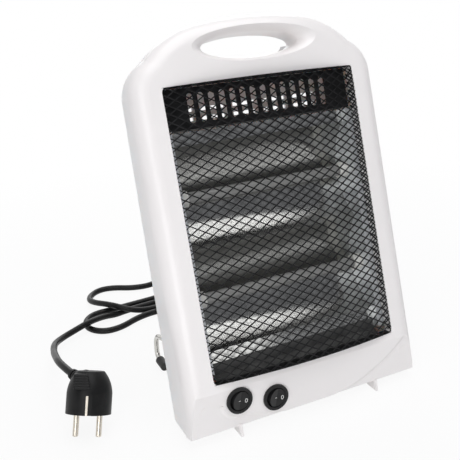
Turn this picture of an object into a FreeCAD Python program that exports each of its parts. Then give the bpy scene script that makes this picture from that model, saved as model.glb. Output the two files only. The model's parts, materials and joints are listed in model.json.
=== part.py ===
"""Quartz heater: a leaning two-tube radiant heater with a bowed guard and a fold-out wire stand.

Body frame: x to the right, y backwards from the front face, z up from the middle of the window.
Floor frame: the same heater leaning back on its front feet, y backwards along the floor, z up.
All lengths are in millimetres.
"""
import FreeCAD, Part
import math
import os
from FreeCAD import Matrix, Placement, Rotation, Vector

SIZES = {
    # casing
    "half_width": 112, "casing_bottom": -161, "shoulder_height": 114, "shoulder_radius": 33,
    "shoulder_turn": 60.6, "valley_radius": 6, "handle_rise": 57.5, "crown_radius": 330,
    "frame_depth": 21, "frame_round": 14, "wall": 2.5, "cavity_rise": 13,
    "chin_top": -126, "chin_back": 8, "overrun": 5, "tolerance": 0.005, "lean_angle": 18,
    "column_width": 24, "window_height": 239, "window_corner": 4,
    "lip_wall": 2, "lip_depth": 10, "lip_low_depth": 4,
    "panel_drop": 1.6, "panel_arc_radius": 150, "panel_arc_bottom": -163, "panel_low_z": -119.5,
    "switch_land": 14.2,
    "hole_width": 90, "hole_height": 21, "hole_rise": 34, "flare_side": 12, "flare_up": 4.5,
    "flare_depth": 12,
    "foot_margin": 44, "foot_thick": 2.5, "foot_height": 9.5, "foot_length": 20,
    "cover_inset": 0.6, "cover_back_low": 58, "cover_back_high": 40, "cover_round": 13,
    "slot_width": 22, "slot_height": 3, "slot_column_pitch": 30, "slot_row_pitch": 8,
    "slot_columns": 5, "slot_rows": 7, "slot_first_row": 54,
    "boss_radius": 4, "boss_margin": 13, "boss_low": -140, "boss_middle": -20, "boss_high": 98,
    "screw_radius": 1.5, "screw_head_radius": 3, "screw_head_height": 2, "screw_length": 16,
    "screw_gap": 0.1,
    # guard
    "guard_gap": 0.3, "guard_thick": 1, "guard_bow": 10, "guard_flange": 10, "guard_rim": 1,
    "mesh_columns": 8, "mesh_rows": 17, "mesh_strand": 1.6,
    # heating parts
    "sheet_thick": 0.8, "reflector_front": 18, "reflector_ridge": 21, "reflector_back": 40,
    "reflector_margin": 6, "tube_high": 31, "tube_low": -54, "tube_depth": 26,
    "trough_half": 42.5, "reflector_top": 84, "reflector_bottom": -114,
    "tube_radius": 5, "tube_wall": 1, "tube_end_gap": 1, "coil_radius": 3.2, "element_gap": 0.4,
    "cap_radius": 7, "cap_length": 14, "cap_socket": 7, "fit_gap": 0.05, "stub_radius": 2,
    "end_plate_thick": 1, "end_plate_back": 41.5, "end_plate_front": 12, "end_flange": 7,
    "baffle_depth": 11, "baffle_margin": 2, "baffle_low": 85.5, "baffle_high": 119,
    "baffle_slots": 14, "baffle_pitch": 9.5, "baffle_slot_width": 5.5, "baffle_slot_height": 24,
    "tray_front": 6, "tray_low": -124.5, "tray_bend": -116, "tray_high": -107,
    # switches
    "switch_left_margin": 44, "switch_left_z": -137.5, "switch_right_margin": 77.5, "switch_right_z": -145,
    "bezel_radius": 11.5, "bezel_height": 2, "barrel_radius": 9.8, "barrel_length": 13,
    "pocket_radius": 8.9, "pocket_depth": 8, "rocker_radius": 8, "rocker_half_height": 3.6,
    "rocker_tilt": 10, "rocker_pivot": -1, "pin_radius": 1.2, "pin_half": 9.2, "hole_gap": 0.1,
    "blade_width": 4.8, "blade_thick": 0.8, "blade_length": 8, "blade_pitch": 7,
    # wiring and strain relief
    "block_x": 45, "block_z": -136, "block_width": 30, "block_height": 14, "block_depth": 12,
    "block_front": 30, "block_bores": 3, "block_bore_radius": 2,
    "gland_x": -20, "gland_z": -125, "gland_flange_radius": 8, "gland_flange": 3,
    "gland_root_radius": 6.5, "gland_tip_radius": 4.6, "gland_length": 22, "gland_rings": 4,
    "ring_depth": 0.7, "ring_width": 2,
    # stand
    "wire_radius": 2.4, "leg_margin": 24, "pivot_back": 77, "pivot_height": 52,
    "leg_back": 146, "leg_knee_height": 28, "leg_toe_back": 131, "foot_cap_radius": 4.3,
    "foot_cap_length": 14, "foot_cap_bore": 8, "knee_radius": 14, "heel_radius": 7,
    "shoulder_bend": 8, "bracket_margin": 42, "bracket_width": 14, "bracket_wall": 3,
    "bracket_tab": 9,
    # cord and plug
    "cord_radius": 3.3, "plug_x": -178.3, "plug_y": 67.8, "plug_radius": 19, "plug_height": 35,
    "plug_straight": 17, "plug_top_radius": 11.5, "plug_bulge": 1.2, "plug_neck": 23, "plug_lean": 30,
    "plug_lean_heading": 56, "plug_turn": -16, "pin_length": 19, "pin_depth": 13,
    "plug_pin_radius": 2.4, "plug_pin_pitch": 19, "boot_root_radius": 7.5, "boot_tip_radius": 4.6,
    "boot_length": 18, "boot_start": 6, "boot_ribs": 4, "boot_side": -45, "boot_lift": 20,
    "clip_width": 5, "clip_thick": 1.2, "clip_length": 16, "collar_wall": 2.5, "collar_half": 4,
}

CORD_ROUTE = [
    (-20, 101.5, 14.8), (-16, 124, 7.5), (-6, 147, 3.6), (6, 170, 3.4), (10, 196, 3.4),
    (-3, 219, 3.4), (-27, 233, 3.4), (-53, 238, 3.4), (-77, 234, 3.4), (-100, 221.8, 3.4),
    (-119.1, 221.5, 3.4), (-132, 234.4, 3.4), (-132, 252.6, 3.4), (-119.1, 265.5, 3.4), (-100, 266, 3.4),
    (-83, 266.5, 3.4), (-48.5, 268, 3.4), (-20, 271, 3.4), (5, 273, 3.4), (32.8, 274, 3.4),
    (51, 292.2, 3.4), (51, 317.8, 3.4), (32.8, 336, 3.4), (7.2, 336, 3.4), (-12, 318, 3.4),
    (-34, 303, 3.4), (-58, 306, 3.4), (-80, 320, 3.4), (-98.3, 321, 3.4), (-113, 306.3, 3.4),
    (-113, 285.7, 7.6), (-101, 265, 11.6), (-92, 253, 11.6), (-80, 245, 8), (-62, 244.5, 3.6),
    (-25, 248.5, 3.4), (5, 246, 3.4), (35, 236, 3.4), (62, 224, 3.4), (96.4, 222, 3.4),
    (114, 239.6, 3.4), (114, 264.4, 3.4), (96.4, 282, 3.4), (72, 284, 3.4), (46, 267, 3.4),
    (22, 260.5, 3.4), (-15, 259.5, 3.4), (-51, 258, 3.4), (-83, 256, 3.4), (-97, 252.5, 3.4),
    (-112, 247.5, 7.5), (-131, 235.5, 11.6), (-148, 228.5, 10), (-163, 221.5, 9), (-173.5, 208.5, 12),
    (-178.5, 190.5, 18), (-182.5, 169, 25), (-185, 146.5, 33), (-187, 120, 41),
]
CORD_BEND_SHARE = 0.45
CROWN_SPAN_SHARE = 0.4

doc = FreeCAD.newDocument("quartz_heater")
sheet = doc.addObject("Spreadsheet::Sheet", "Sizes")
for row, (alias, number) in enumerate(SIZES.items(), 1):
    sheet.set("A%d" % row, alias)
    sheet.set("B%d" % row, str(number))
    sheet.setAlias("B%d" % row, alias)
doc.recompute()


def size(alias):
    """A driving dimension from the sheet."""
    return float(getattr(sheet, alias))


W, T, OVER, NEAR = size("half_width"), size("wall"), size("overrun"), size("tolerance")
BOTTOM, DEPTH = size("casing_bottom"), size("frame_depth")
LEAN = math.radians(size("lean_angle"))
CHIN_TOP, CHIN_BACK = size("chin_top"), size("chin_back")
TOP = size("shoulder_height") + size("handle_rise")
HOLE_Z = size("shoulder_height") + size("hole_rise")
CAVITY_TOP = size("shoulder_height") + size("cavity_rise")
WINDOW_HALF = W - size("column_width")
REFLECTOR_HALF = WINDOW_HALF - size("reflector_margin")
TUBE_HALF = REFLECTOR_HALF - size("tube_end_gap")
LEFT_X, RIGHT_X = size("switch_left_margin") - W, size("switch_right_margin") - W
FOOT_FRONT = CHIN_BACK
FOOT_BOTTOM = BOTTOM - size("foot_height")
parts = []


def keep(obj, label, frame="body"):
    """Name a sub-part and remember the frame that it is modelled in."""
    obj.Label = label
    parts.append((obj, frame))
    return obj


def feature(label, shape, frame="body"):
    """A sub-part whose shape comes from profiles that no single primitive gives."""
    obj = doc.addObject("Part::Feature", label)
    obj.Shape = shape
    return keep(obj, label, frame)


def cylinder(name, radius, height, at, axis=Vector(0, 0, 1)):
    """A cylinder whose radius and height are expressions on the sheet."""
    obj = doc.addObject("Part::Cylinder", name)
    obj.setExpression("Radius", radius)
    obj.setExpression("Height", height)
    obj.Placement = Placement(at, Rotation(Vector(0, 0, 1), axis))
    return obj


def box(name, length, width, height, at):
    """A box whose sides are expressions on the sheet."""
    obj = doc.addObject("Part::Box", name)
    obj.setExpression("Length", length)
    obj.setExpression("Width", width)
    obj.setExpression("Height", height)
    obj.Placement = Placement(at, Rotation())
    return obj


def cut(name, base, tool):
    """Base less tool, as one object."""
    obj = doc.addObject("Part::Cut", name)
    obj.Base = base
    obj.Tool = tool
    return obj


def fuse(name, *shapes):
    """Several objects joined into one."""
    obj = doc.addObject("Part::MultiFuse", name)
    obj.Shapes = list(shapes)
    return obj


def prism(points, start, end):
    """A polygon in the YZ plane carried along x from start to end."""
    wire = Part.makePolygon([Vector(start, y, z) for y, z in points + points[:1]])
    return Part.Face(wire).extrude(Vector(end - start, 0, 0))


def arc(centre, radius, first, last):
    """The shorter arc about a centre between two points of its circle."""
    middle = (first - centre) + (last - centre)
    middle.normalize()
    return Part.Arc(first, centre + middle * radius, last).toShape()


def mirrored(point):
    return Vector(-point.x, point.y, point.z)


def outline(inset, low):
    """Face of the casing seen from the front: sides, shoulders, valleys and the handle's arch."""
    shoulder, valley, crown = size("shoulder_radius"), size("valley_radius"), size("crown_radius")
    turn = math.radians(size("shoulder_turn"))
    a = Vector(W - shoulder, 0, size("shoulder_height"))
    to_valley = Vector(math.cos(turn), 0, math.sin(turn))
    v = a + to_valley * (shoulder + valley)
    k = Vector(0, 0, TOP - crown)
    span = CROWN_SPAN_SHARE * W / crown
    out = Vector(span, 0, math.sqrt(1 - span ** 2))
    reach = k + out * crown - v
    side = (reach.Length ** 2 - valley ** 2) / (2 * (reach.dot(out) + valley))
    s = k + out * (crown - side)
    from_side = (v - s).normalize()
    p0 = Vector(W - inset, 0, low)
    p1 = Vector(W - inset, 0, a.z)
    p2 = a + to_valley * (shoulder - inset)
    p3 = s + from_side * (side - inset)
    p4 = k + out * (crown - inset)
    right = [(p1, p2, a, shoulder - inset), (p2, p3, v, valley + inset), (p3, p4, s, side - inset)]
    edges = [Part.makeLine(p0, p1)]
    edges += [arc(c, r, p, q) for p, q, c, r in right]
    edges.append(arc(k, crown - inset, p4, mirrored(p4)))
    edges += [arc(mirrored(c), r, mirrored(q), mirrored(p)) for p, q, c, r in reversed(right)]
    edges += [Part.makeLine(mirrored(p1), mirrored(p0)), Part.makeLine(mirrored(p0), p0)]
    return Part.Face(Part.Wire(edges))


def slab(inset, low, front, back):
    """The casing's outline carried from one depth to another."""
    face = outline(inset, low)
    face.translate(Vector(0, front, 0))
    return face.extrude(Vector(0, back - front, 0))


def rim_edges(solid, on_rim, low):
    """Edges of a slab that lie on its rounded rim, without the bottom edge."""
    found = []
    for edge in solid.Edges:
        points = [vertex.Point for vertex in edge.Vertexes]
        middle = edge.valueAt((edge.FirstParameter + edge.LastParameter) / 2)
        if all(on_rim(p) for p in points + [middle]) and middle.z > low + OVER / 2:
            found.append(edge)
    return found


def rounded_slab(inset, low, back):
    """The outline carried backwards from a depth equal to its inset, with a rounded front rim."""
    solid = slab(inset, low, inset, back)

    def on_front(point):
        return abs(point.y - inset) < NEAR

    return solid.makeFillet(size("frame_round") - inset, rim_edges(solid, on_front, low))


def rounded_rectangle(width, height, corner, y, thick, centre=Vector(0, 0, 0)):
    """A rounded rectangle in the XZ plane, carried backwards by thick."""
    x, z = width / 2, height / 2
    edges = []
    corners = [(x, z), (-x, z), (-x, -z), (x, -z)]
    for i, (cx, cz) in enumerate(corners):
        sx, sz = math.copysign(1, cx), math.copysign(1, cz)
        middle = Vector(cx - sx * corner, y, cz - sz * corner)
        ends = [middle + Vector(sx * corner, 0, 0), middle + Vector(0, 0, sz * corner)]
        if i % 2:
            ends.reverse()
        edges.append((ends[0], arc(middle, corner, *ends), ends[1]))
    loop = []
    for here, after in zip(edges, edges[1:] + edges[:1]):
        loop.append(here[1])
        if (after[0] - here[2]).Length > NEAR:
            loop.append(Part.makeLine(here[2], after[0]))
    face = Part.Face(Part.Wire(loop))
    face.translate(centre)
    return face.extrude(Vector(0, thick, 0))


def oval(grow_side, grow_up, y):
    """An ellipse round the hand hole's middle at a depth."""
    wide, high = size("hole_width") / 2 + grow_side, size("hole_height") / 2 + grow_up
    middle = Vector(0, y, HOLE_Z)
    curve = Part.Ellipse(middle + Vector(wide, 0, 0), middle + Vector(0, 0, high), middle)
    return Part.Wire(curve.toShape())


def handle_hole(front, back):
    """The hand hole: an ellipse through the handle that flares towards the front and the back face."""
    through = Part.Face(oval(0, 0, front - OVER)).extrude(Vector(0, back - front + 2 * OVER, 0))
    flares = []
    for face_y, inward in ((front, size("flare_depth")), (back, -size("flare_depth"))):
        rings = [oval(size("flare_side"), size("flare_up"), face_y),
                 oval(size("flare_side") / 4, size("flare_up") / 4, face_y + inward / 2),
                 oval(0, 0, face_y + inward)]
        flares.append(Part.makeLoft(rings, True, False))
    return through.fuse(flares)


def chin_wedge(shift):
    """What is taken off in front of the chin, which slopes back from below the window."""
    low = BOTTOM - 2 * OVER
    slope = CHIN_BACK / (CHIN_TOP - BOTTOM)
    reach = W + OVER
    outer = [(-OVER, CHIN_TOP), (shift, CHIN_TOP), (shift + slope * (CHIN_TOP - low), low), (-OVER, low)]
    return prism(outer, -reach, reach)


def boss_places():
    levels = (size("boss_low"), size("boss_middle"), size("boss_high"))
    return [(side * (W - size("boss_margin")), z) for z in levels for side in (-1, 1)]


def chin_frame(x, z):
    """Axes and middle of a switch on the chin: u along the rocker, v its pivot, n outwards."""
    slope = math.atan2(CHIN_BACK, CHIN_TOP - BOTTOM)
    n = Vector(0, -math.cos(slope), -math.sin(slope))
    up = Vector(0, -math.sin(slope), math.cos(slope))
    apart = RIGHT_X - LEFT_X
    drop = size("switch_right_z") - size("switch_left_z")
    turn = math.atan2(drop, apart)
    u = Vector(math.cos(turn), 0, 0) + up * math.sin(turn)
    v = n.cross(u)
    origin = Vector(x, math.tan(slope) * (CHIN_TOP - z), z)
    matrix = Matrix(u.x, v.x, n.x, origin.x, u.y, v.y, n.y, origin.y, u.z, v.z, n.z, origin.z, 0, 0, 0, 1)
    return Placement(matrix)


SWITCHES = {
    "left": chin_frame(LEFT_X, size("switch_left_z")),
    "right": chin_frame(RIGHT_X, size("switch_right_z")),
}


def placed(shape, placement):
    """A copy of a shape carried to a placement."""
    moved = shape.copy()
    moved.Placement = placement.multiply(moved.Placement)
    return moved


def panel_arc():
    """The crescent below the smile-shaped edge, deeper than the chin except round the switches."""
    radius, low = size("panel_arc_radius"), size("panel_arc_bottom")
    raised = [Part.makeCylinder(radius, DEPTH, Vector(0, -OVER, low + radius), Vector(0, 1, 0))]
    for place in SWITCHES.values():
        middle = Vector(place.Base.x, -OVER, place.Base.z)
        raised.append(Part.makeCylinder(size("switch_land"), DEPTH, middle, Vector(0, 1, 0)))
    reach = W + OVER
    block = Part.makeBox(2 * reach, DEPTH, size("panel_low_z") - BOTTOM + OVER,
                         Vector(-reach, -OVER, BOTTOM - OVER))
    skin = chin_wedge(size("panel_drop"))
    return block.cut(raised).common(skin)


def front_frame():
    """Front moulding: rounded rim, window with its lip, sloping chin, handle half and two feet."""
    low = BOTTOM - 2 * OVER
    outer = rounded_slab(0, low, DEPTH)
    inner = rounded_slab(T, low, DEPTH + OVER)
    big = 2 * (W + OVER)
    under = Part.makeBox(big, 3 * DEPTH, 3 * OVER, Vector(-W - OVER, -OVER, BOTTOM - 3 * OVER))
    outer = outer.cut([under, chin_wedge(0), panel_arc()])
    above = Part.makeBox(big, 3 * DEPTH, 2 * W, Vector(-W - OVER, -OVER, CAVITY_TOP))
    under.translate(Vector(0, 0, T))
    inner = inner.cut([under, chin_wedge(T + size("panel_drop")), above])
    wide, high, corner = 2 * WINDOW_HALF, size("window_height"), size("window_corner")
    lip = size("lip_wall")
    rim = rounded_rectangle(wide + 2 * lip, high + 2 * lip, corner + lip, T, size("lip_depth") - T)
    low_lip = Part.makeBox(wide - 2 * corner, DEPTH, 2 * lip + OVER,
                           Vector(corner - WINDOW_HALF, size("lip_low_depth"), -high / 2 - lip - OVER))
    rim = rim.cut(low_lip)
    opening = rounded_rectangle(wide, high, corner, -OVER, DEPTH + OVER)
    bosses = [Part.makeCylinder(size("boss_radius"), DEPTH - T, Vector(x, T, z), Vector(0, 1, 0))
              for x, z in boss_places()]
    bosses = [boss.cut(chin_wedge(T / 2)) for boss in bosses]
    pilot = size("screw_radius") + size("screw_gap")
    pilots = [Part.makeCylinder(pilot, DEPTH, Vector(x, DEPTH / 2, z), Vector(0, 1, 0))
              for x, z in boss_places()]
    slope = math.tan(LEAN)
    length = size("foot_length")
    foot = [(FOOT_FRONT, BOTTOM + T / 2), (FOOT_FRONT, FOOT_BOTTOM),
            (FOOT_FRONT + length, FOOT_BOTTOM + slope * length), (DEPTH - T, BOTTOM + T / 2)]
    half = size("foot_thick") / 2
    feet = [prism(foot, x - half, x + half) for x in (size("foot_margin") - W, W - size("foot_margin"))]
    behind = Part.makeBox(big, 3 * DEPTH, 3 * W, Vector(-W - OVER, DEPTH, BOTTOM - W))
    feet = [one.cut(behind) for one in feet]
    solid = outer.cut(inner).fuse([rim] + bosses + feet).cut([opening, handle_hole(0, 2 * DEPTH)] + pilots)
    hole = size("barrel_radius") + size("hole_gap")
    barrel = Part.makeCylinder(hole, 4 * DEPTH, Vector(0, 0, -2 * DEPTH))
    solid = solid.cut([placed(barrel, place) for place in SWITCHES.values()])
    return solid.removeSplitter()


def back_depth(z):
    """Depth of the rear cover's back face at a height: deepest at the bottom."""
    low, high = size("cover_back_low"), size("cover_back_high")
    return low + (high - low) * (z - BOTTOM) / (TOP - BOTTOM)


def cover_slab(inset, front, shift):
    """The rear cover's envelope: the outline, a sloping back and a rounded back rim."""
    low = BOTTOM - 2 * OVER
    far = size("cover_back_low") + OVER
    body = slab(inset, low, front, far)
    reach = W + OVER
    top = TOP + OVER
    behind = [(back_depth(low - OVER) - shift, low - OVER), (far + OVER, low - OVER), (far + OVER, top),
              (back_depth(top) - shift, top)]
    body = body.cut(prism(behind, -reach, reach))

    def on_back(point):
        return abs(point.y - back_depth(point.z) + shift) < 2 * NEAR

    body = body.makeFillet(size("cover_round") - shift, rim_edges(body, on_back, low))
    rise = math.tan(LEAN)
    under = [(front - OVER, low - OVER), (far + OVER, low - OVER),
             (far + OVER, BOTTOM + shift + rise * (far + OVER - DEPTH)), (DEPTH, BOTTOM + shift),
             (front - OVER, BOTTOM + shift)]
    return body.cut(prism(under, -reach, reach))


def block_corner():
    """Lowest front corner of the terminal block."""
    wide, high = size("block_width"), size("block_height")
    return Vector(size("block_x") - wide / 2, size("block_front"), size("block_z") - high / 2)


def rear_cover():
    """Rear moulding: a tapering shell with vent slots, screw bosses and the handle's rear half."""
    inset = size("cover_inset")
    outer = cover_slab(inset, DEPTH, 0)
    inner = cover_slab(inset + T, DEPTH - OVER, T)
    big = 2 * (W + OVER)
    above = Part.makeBox(big, 4 * DEPTH, 2 * W, Vector(-W - OVER, -OVER, CAVITY_TOP))
    inner = inner.cut(above)
    boss = size("boss_radius")
    bosses = [Part.makeCylinder(boss, back_depth(z) - DEPTH, Vector(x, DEPTH, z), Vector(0, 1, 0))
              for x, z in boss_places()]
    solid = outer.cut(inner)
    solid = solid.fuse([one.common(outer) for one in bosses])
    seat = size("screw_length") / 2
    holes = []
    for x, z in boss_places():
        head = DEPTH + seat
        holes.append(Part.makeCylinder(size("screw_radius") + size("screw_gap"), 2 * DEPTH,
                                       Vector(x, DEPTH - OVER, z), Vector(0, 1, 0)))
        holes.append(Part.makeCylinder(size("screw_head_radius") + size("screw_gap"), 2 * DEPTH,
                                       Vector(x, head, z), Vector(0, 1, 0)))
    slots = []
    columns, rows = int(size("slot_columns")), int(size("slot_rows"))
    for i in range(columns):
        for j in range(rows):
            x = (i - (columns - 1) / 2) * size("slot_column_pitch")
            z = size("slot_first_row") + j * size("slot_row_pitch")
            slots.append(Part.makeBox(size("slot_width"), 2 * DEPTH, size("slot_height"),
                                      Vector(x - size("slot_width") / 2, DEPTH + OVER, z)))
    corner = block_corner() + Vector(0, size("block_depth"), 0)
    pillar = Part.makeBox(size("block_width"), 2 * DEPTH, size("block_height"), corner)
    solid = solid.fuse(pillar.common(outer))
    cord_hole = Part.makeCylinder(size("gland_root_radius") + size("fit_gap"), 3 * DEPTH,
                                  Vector(size("gland_x"), DEPTH, size("gland_z")), Vector(0, 1, 0))
    solid = solid.cut(holes + slots + [cord_hole, handle_hole(-DEPTH, back_depth(HOLE_Z))])
    return solid.removeSplitter()


def guard_mesh():
    """Bowed guard: a sheet of diamond gaps with its edges turned back into the window's lip."""
    half = WINDOW_HALF - size("guard_gap")
    tall = size("window_height") / 2 - size("guard_gap")
    thick, bow, flange = size("guard_thick"), size("guard_bow"), size("guard_flange")

    def bowed(shift):
        left = Vector(-half + shift, shift, 0)
        top = Vector(0, shift - bow, 0)
        right = mirrored(left)
        return left, Part.Arc(left, top, right).toShape(), right

    left, front, right = bowed(0)
    left_in, back, right_in = bowed(thick)
    ends = [Vector(half, flange, 0), Vector(half - thick, flange, 0)]
    edges = [front, Part.makeLine(right, ends[0]), Part.makeLine(ends[0], ends[1]),
             Part.makeLine(ends[1], right_in), back, Part.makeLine(left_in, mirrored(ends[1])),
             Part.makeLine(mirrored(ends[1]), mirrored(ends[0])), Part.makeLine(mirrored(ends[0]), left)]
    strip = Part.Face(Part.Wire(Part.sortEdges(edges)[0]))
    strip.translate(Vector(0, 0, -tall))
    sheet_solid = strip.extrude(Vector(0, 0, 2 * tall))
    lid_edges = [front, Part.makeLine(right, left)]
    lid = Part.Face(Part.Wire(Part.sortEdges(lid_edges)[0]))
    lids = []
    for z in (-tall, tall - thick):
        one = lid.copy()
        one.translate(Vector(0, 0, z))
        lids.append(one.extrude(Vector(0, 0, thick)))
    columns, rows = int(size("mesh_columns")), int(size("mesh_rows"))
    wide = 2 * (half - size("guard_rim") - thick) / columns
    high = 2 * (tall - size("guard_rim") - thick) / rows
    strand = size("mesh_strand")
    shrink = strand * math.hypot(wide, high) / 2
    gap_x, gap_z = wide / 2 - shrink / high, high / 2 - shrink / wide
    gaps = []
    for step in range(2):
        for i in range(columns - step):
            for j in range(rows - step):
                x = (i + (1 + step) / 2 - columns / 2) * wide
                z = (j + (1 + step) / 2 - rows / 2) * high
                points = [Vector(x + gap_x, -2 * bow, z), Vector(x, -2 * bow, z + gap_z),
                          Vector(x - gap_x, -2 * bow, z), Vector(x, -2 * bow, z - gap_z)]
                face = Part.Face(Part.makePolygon(points + points[:1]))
                gaps.append(face.extrude(Vector(0, 2 * bow + flange, 0)))
    holed = sheet_solid.cut(Part.makeCompound(gaps))
    corner = size("window_corner") - size("guard_gap")
    envelope = rounded_rectangle(2 * half, 2 * tall, corner, -2 * bow, 2 * bow + 2 * flange)
    return holed.fuse(lids).common(envelope).removeSplitter()


def reflector():
    """Polished sheet with two troughs, one behind each tube, and a flat flange above and below."""
    front, ridge, back = size("reflector_front"), size("reflector_ridge"), size("reflector_back")
    high, low, half = size("tube_high"), size("tube_low"), size("trough_half")
    thick = size("sheet_thick")
    top, bottom = size("reflector_top"), size("reflector_bottom")
    stations = [(front, top), (front, high + half), (back, high), (ridge, (high + low) / 2),
                (back, low), (front, low - half), (front, bottom)]
    face_edges = []
    points = [Vector(-REFLECTOR_HALF, y, z) for y, z in stations]
    ends = []
    for shift in (0, thick):
        p = [point + Vector(0, shift, 0) for point in points]
        face_edges += [Part.makeLine(p[0], p[1]), Part.Arc(p[1], p[2], p[3]).toShape(),
                       Part.Arc(p[3], p[4], p[5]).toShape(), Part.makeLine(p[5], p[6])]
        ends.append((p[0], p[6]))
    face_edges += [Part.makeLine(ends[0][0], ends[1][0]), Part.makeLine(ends[0][1], ends[1][1])]
    face = Part.Face(Part.Wire(Part.sortEdges(face_edges)[0]))
    return face.extrude(Vector(2 * REFLECTOR_HALF, 0, 0))


def end_plate(side):
    """Plate at one end of the reflector, with a hole for each tube's cap and a flange to the lip."""
    x = side * REFLECTOR_HALF
    thick = size("end_plate_thick")
    front, back = size("end_plate_front"), size("end_plate_back")
    high, low = size("reflector_top"), size("reflector_bottom")
    corner = (back - front) / 3
    profile = [(front, low), (back - corner, low), (back, low + corner), (back, high - corner),
               (back - corner, high), (front, high)]
    plate = prism(profile, min(x, x + side * thick), max(x, x + side * thick))
    reach = size("end_flange")
    flange = Part.makeBox(reach, thick, high - low, Vector(min(x, x + side * reach), front - thick, low))
    plate = plate.fuse(flange)
    holes = [Part.makeCylinder(size("cap_radius") + size("fit_gap"), 4 * OVER,
                               Vector(x - 2 * OVER, size("tube_depth"), z), Vector(1, 0, 0))
             for z in (size("tube_high"), size("tube_low"))]
    return plate.cut(holes).removeSplitter()


def vent_panel():
    """Black baffle above the reflector with a row of upright round-ended slots."""
    half, thick = WINDOW_HALF - size("baffle_margin"), size("sheet_thick")
    low, high = size("baffle_low"), size("baffle_high")
    plate = Part.makeBox(2 * half, thick, high - low, Vector(-half, size("baffle_depth"), low))
    count = int(size("baffle_slots"))
    wide, tall = size("baffle_slot_width"), size("baffle_slot_height")
    slots = []
    for i in range(count):
        centre = Vector((i - (count - 1) / 2) * size("baffle_pitch"), 0, (low + high) / 2)
        slots.append(rounded_rectangle(wide, tall, wide / 2 - NEAR, 0, DEPTH, centre))
    return plate.cut(slots)


def lower_baffle():
    """Black tray below the reflector: an upright flange on its front face and a slope down to the lip."""
    thick, half = size("sheet_thick"), REFLECTOR_HALF - size("tube_end_gap")
    back = size("reflector_front") - size("fit_gap")
    front, low, bend, high = size("tray_front"), size("tray_low"), size("tray_bend"), size("tray_high")
    profile = [(front, low), (back - thick, bend), (back - thick, high), (back, high), (back, bend - thick),
               (front, low - thick)]
    return prism(profile, -half, half)


def rounded_path(points, radii):
    """Straight runs joined by tangent arcs, one arc at each inner point."""
    edges = []
    start = points[0]
    for before, here, after, radius in zip(points, points[1:], points[2:], radii):
        back = (before - here).normalize()
        on = (after - here).normalize()
        half_turn = back.getAngle(on) / 2
        reach = radius / math.tan(half_turn)
        first, last = here + back * reach, here + on * reach
        middle = (back + on).normalize()
        bulge = here + middle * (radius / math.sin(half_turn) - radius)
        edges += [Part.makeLine(start, first), Part.Arc(first, bulge, last).toShape()]
        start = last
    edges.append(Part.makeLine(start, points[-1]))
    return Part.Wire(edges)


def tube_along(path, radius):
    """A round bar carried along a path."""
    first = path.Edges[0]
    start = first.valueAt(first.FirstParameter)
    heading = first.tangentAt(first.FirstParameter)
    ring = Part.Wire(Part.Circle(start, heading, radius).toShape())
    return path.makePipeShell([ring], True, False)


def stand_wire():
    """One bent wire: its middle turns in the brackets, and each end curls down to a foot cap."""
    x, toe_z = W - size("leg_margin"), size("foot_cap_radius")
    left = [Vector(-x, size("leg_toe_back"), toe_z), Vector(-x, size("leg_back"), toe_z),
            Vector(-x, size("leg_back"), size("leg_knee_height")),
            Vector(-x, size("pivot_back"), size("pivot_height"))]
    points = left + [mirrored(p) for p in reversed(left)]
    bends = [size("heel_radius"), size("knee_radius"), size("shoulder_bend")]
    return tube_along(rounded_path(points, bends + bends[::-1]), size("wire_radius"))


def to_body(back, height):
    """A point of the floor frame, given as depth and height, in the body frame's y and z."""
    y = back * math.cos(LEAN) - height * math.sin(LEAN) + FOOT_FRONT
    z = back * math.sin(LEAN) + height * math.cos(LEAN) + FOOT_BOTTOM
    return y, z


def stand_bracket(side):
    """Saddle clip that holds the stand's middle against the rear cover."""
    y, z = to_body(size("pivot_back"), size("pivot_height"))
    outer = size("wire_radius") + size("bracket_wall")
    wide = size("bracket_width")
    x = side * (W - size("bracket_margin")) - wide / 2
    base = back_depth(z + outer + size("bracket_tab"))
    block = Part.makeBox(wide, y - base, 2 * outer, Vector(x, base, z - outer))
    round_end = Part.makeCylinder(outer, wide, Vector(x, y, z), Vector(1, 0, 0))
    tall = 2 * (outer + size("bracket_tab"))
    deep = back_depth(z - tall / 2) - base + size("bracket_wall")
    tab = Part.makeBox(wide, deep, tall, Vector(x, base, z - tall / 2))
    hole = size("wire_radius") + size("fit_gap")
    bore = Part.makeCylinder(hole, wide + 2 * OVER, Vector(x - OVER, y, z), Vector(1, 0, 0))
    low, high = z - tall, z + tall
    inside = prism([(0, low), (back_depth(low), low), (back_depth(high), high), (0, high)], -W, W)
    return block.fuse([round_end, tab]).cut([bore, inside]).removeSplitter()


def switch_housing(name, place):
    """Round switch body: a bezel on the chin, a barrel behind it and a pocket for the rocker."""
    up = Vector(0, 0, 1)
    bezel = cylinder(name + "_bezel", "Sizes.bezel_radius", "Sizes.bezel_height", Vector(0, 0, 0), up)
    barrel = cylinder(name + "_barrel", "Sizes.barrel_radius", "Sizes.barrel_length",
                      Vector(0, 0, -size("barrel_length")), up)
    pocket = cylinder(name + "_pocket", "Sizes.pocket_radius", "Sizes.pocket_depth + Sizes.overrun",
                      Vector(0, 0, size("bezel_height") - size("pocket_depth")), up)
    end = Vector(0, -size("pin_half") - 2 * size("fit_gap"), size("rocker_pivot"))
    bore = cylinder(name + "_bore", "Sizes.pin_radius + Sizes.fit_gap",
                    "2 * Sizes.pin_half + 4 * Sizes.fit_gap", end, Vector(0, 1, 0))
    hollow = fuse(name + "_hollow", pocket, bore)
    body = cut(name, fuse(name + "_solid", bezel, barrel), hollow)
    body.Placement = place
    return keep(body, name)


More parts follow.
